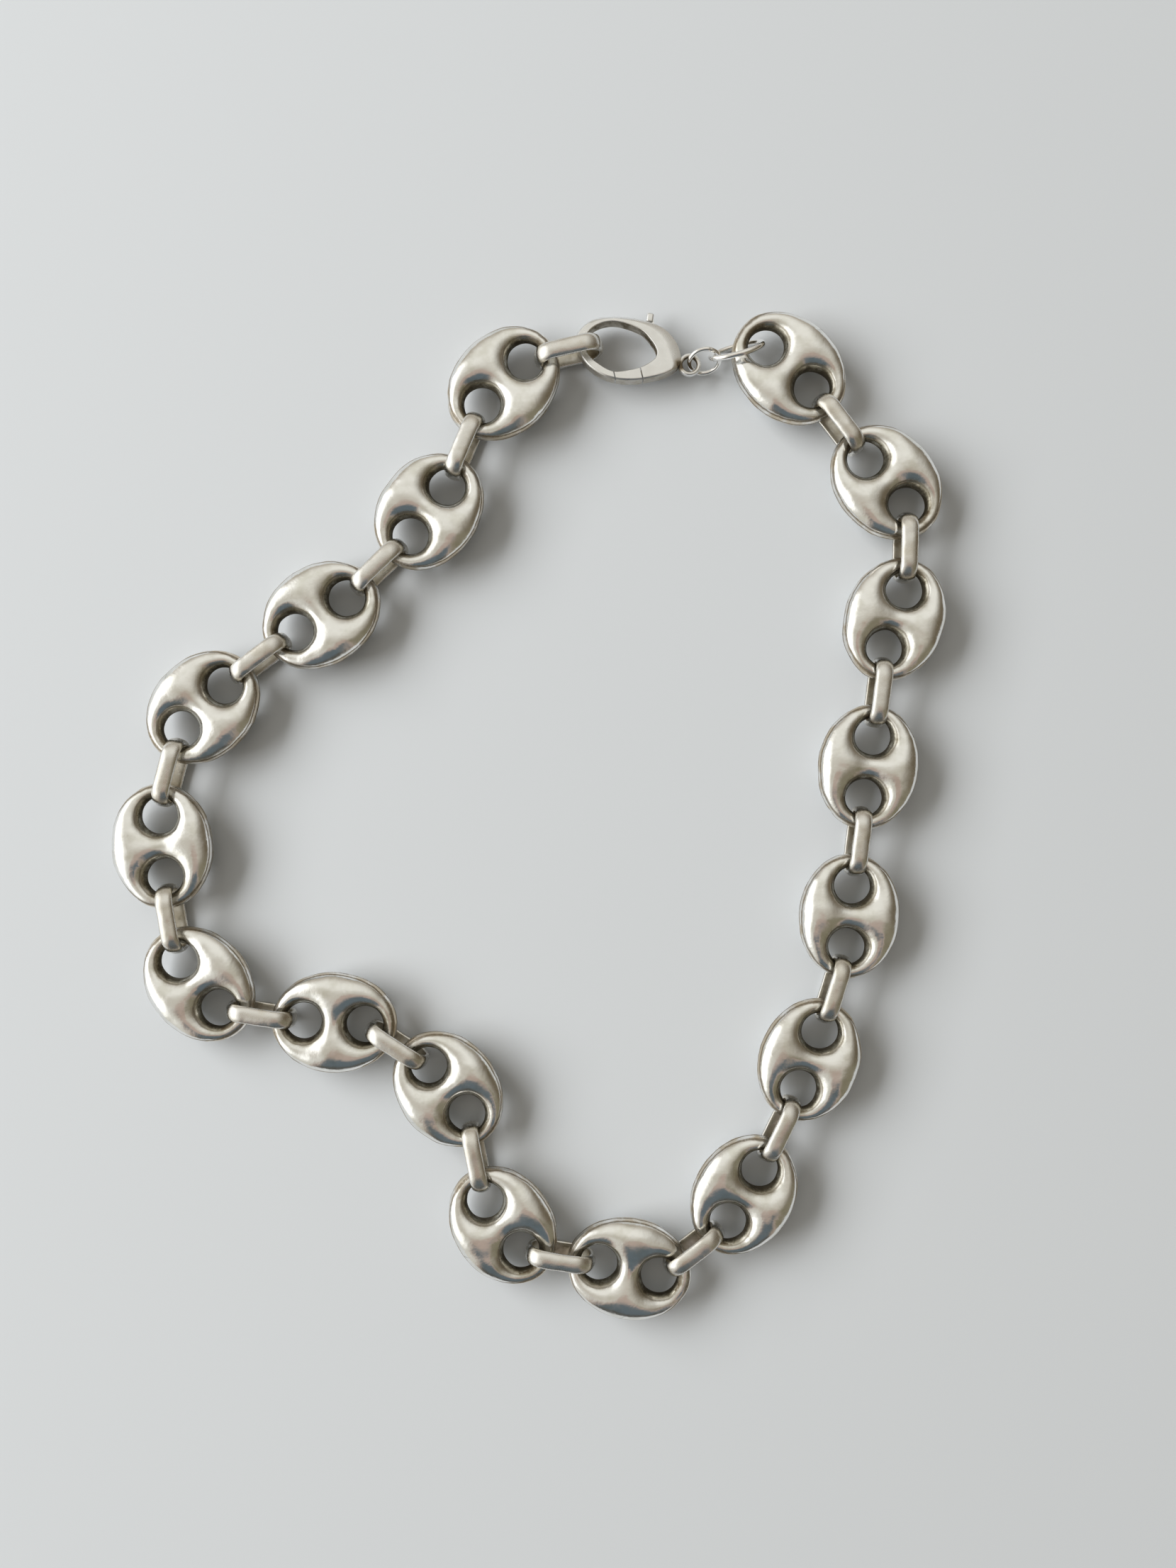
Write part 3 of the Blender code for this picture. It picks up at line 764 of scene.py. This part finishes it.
def add_world():
    """A plain pale room: lighter above and away from the viewer, dim along the horizon and on the viewer's side."""
    world = bpy.data.worlds.new("studio")
    bpy.context.scene.world = world
    world.use_nodes = True
    nodes, links = world.node_tree.nodes, world.node_tree.links

    def put(kind, inputs=(), **settings):
        node = nodes.new(kind)
        for key, value in settings.items():
            setattr(node, key, value)
        for socket, value in dict(inputs).items():
            if isinstance(value, bpy.types.NodeSocket):
                links.new(value, node.inputs[socket])
            else:
                node.inputs[socket].default_value = value
        return node

    def step(value, low, high):
        inputs = {"Value": value, "From Min": low, "From Max": high}
        return put("ShaderNodeMapRange", inputs, interpolation_type="SMOOTHSTEP", clamp=True).outputs[0]

    def blend(share, first, second):
        node = put("ShaderNodeMix", data_type="RGBA")
        for socket, value in ((0, share), (6, first), (7, second)):
            if isinstance(value, bpy.types.NodeSocket):
                links.new(value, node.inputs[socket])
            else:
                node.inputs[socket].default_value = value
        return node.outputs[2]

    def multiply(first, second):
        return put("ShaderNodeMath", {0: first, 1: second}, operation="MULTIPLY").outputs[0]

    direction = put("ShaderNodeTexCoord").outputs["Generated"]
    parts = put("ShaderNodeSeparateXYZ", {0: direction})
    x, y, z = (parts.outputs[axis] for axis in "XYZ")
    ceiling = blend(step(y, -0.10, 0.45), (0.535, 0.505, 0.44, 1), (0.80, 0.785, 0.725, 1))
    room = blend(step(z, 0.05, 0.75), (0.42, 0.38, 0.32, 1), ceiling)
    room = blend(step(x, 0.20, 1.00), room, (0.13, 0.105, 0.07, 1))
    near_side = blend(step(x, -0.35, 0.45), (0.60, 0.585, 0.53, 1), (0.20, 0.18, 0.125, 1))
    room = blend(step(y, -0.15, -0.42), room, near_side)
    aside = put("ShaderNodeMath", {0: x, 1: 0.06}, operation="SUBTRACT").outputs[0]
    aside = put("ShaderNodeMath", {0: aside}, operation="ABSOLUTE").outputs[0]
    from_viewer = put("ShaderNodeMath", {0: y, 1: 0.58, 2: aside}, operation="MULTIPLY_ADD").outputs[0]
    skin = multiply(step(y, -0.06, -0.24), step(from_viewer, 0.16, 0.02))
    room = blend(skin, room, (0.42, 0.335, 0.285, 1))
    viewer = blend(step(z, 0.20, 0.50), (0.08, 0.078, 0.07, 1), (0.105, 0.13, 0.145, 1))
    room = blend(multiply(step(from_viewer, 0.08, -0.10), step(z, 0.92, 0.82)), room, viewer)
    window = multiply(step(x, -0.46, -0.78), step(z, -0.05, 0.15))
    window = multiply(window, multiply(step(y, -0.74, -0.50), step(y, 0.74, 0.48)))
    whole = blend(0.32, room, (0, 0, 0, 1))
    mirrored = blend(window, room, (1.6, 1.6, 1.56, 1))
    light_path = put("ShaderNodeLightPath")
    whole = blend(light_path.outputs["Is Glossy Ray"], whole, mirrored)
    seen = blend(light_path.outputs["Is Camera Ray"], whole, (0.74, 0.74, 0.72, 1))
    background = nodes["Background"]
    links.new(seen, background.inputs["Color"])
    background.inputs["Strength"].default_value = 1.0


def add_window():
    """One large soft window light on the left."""
    lamp = bpy.data.lights.new("window", "AREA")
    lamp.shape = "RECTANGLE"
    lamp.size = 2.10
    lamp.size_y = 0.84
    lamp.energy = 54.5
    lamp.color = (0.98, 0.995, 1.0)
    window = bpy.data.objects.new("window", lamp)
    bpy.context.scene.collection.objects.link(window)
    azimuth, height, distance = math.radians(164), math.radians(29), 1.80
    out = Vector((
        math.cos(azimuth) * math.cos(height), math.sin(azimuth) * math.cos(height), math.sin(height),
    ))
    window.location = out * distance
    window.rotation_euler = out.to_track_quat("Z", "Y").to_euler()
    window.visible_camera = False
    window.visible_glossy = False


def add_camera():
    camera = bpy.data.cameras.new("camera")
    camera.lens = CAMERA_LENS_MM
    camera.sensor_width = CAMERA_SENSOR_MM
    camera.clip_start = 0.005
    placed = bpy.data.objects.new("camera", camera)
    placed.location = CAMERA_PLACE
    bpy.context.scene.collection.objects.link(placed)
    bpy.context.scene.camera = placed


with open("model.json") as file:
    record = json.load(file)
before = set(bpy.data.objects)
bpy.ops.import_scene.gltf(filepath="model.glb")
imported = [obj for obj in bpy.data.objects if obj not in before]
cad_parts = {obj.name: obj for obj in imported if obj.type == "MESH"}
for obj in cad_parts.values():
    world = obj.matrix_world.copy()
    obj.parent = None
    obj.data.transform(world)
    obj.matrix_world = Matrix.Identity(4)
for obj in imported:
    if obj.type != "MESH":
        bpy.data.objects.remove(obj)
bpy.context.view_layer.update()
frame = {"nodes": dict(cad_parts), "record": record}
bpy.context.scene.view_settings.view_transform = "Standard"
add_camera()

link_silver = worn_and_shaded_silver(
    "link_silver", (0.94, 0.935, 0.91), (0.82, 0.81, 0.755), (0.37, 0.338, 0.245), (0.09, 0.072, 0.045), 0.14, 1.0, 1.0,
)
connector_silver = worn_and_shaded_silver(
    "connector_silver", (0.83, 0.815, 0.78), (0.75, 0.715, 0.645), (0.44, 0.39, 0.29), (0.15, 0.12, 0.08), 0.22, 1.0,
)
clasp_silver = worn_and_shaded_silver(
    "clasp_silver", (0.90, 0.90, 0.89), (0.86, 0.855, 0.84), (0.50, 0.44, 0.34), (0.16, 0.12, 0.07), 0.26, 0.35,
)
ring_silver = worn_and_shaded_silver(
    "ring_silver", (0.95, 0.94, 0.92), (0.93, 0.92, 0.89), (0.50, 0.44, 0.34), (0.22, 0.18, 0.12), 0.12, 0.35,
)

add_links()
add_connectors()
add_clasp()
add_ring("jump_ring_small", "small_jump_ring", **SMALL_RING)
add_ring("jump_ring_large", "large_jump_ring", **LARGE_RING)

add_floor()
add_world()
add_window()

bpy.context.view_layer.update()
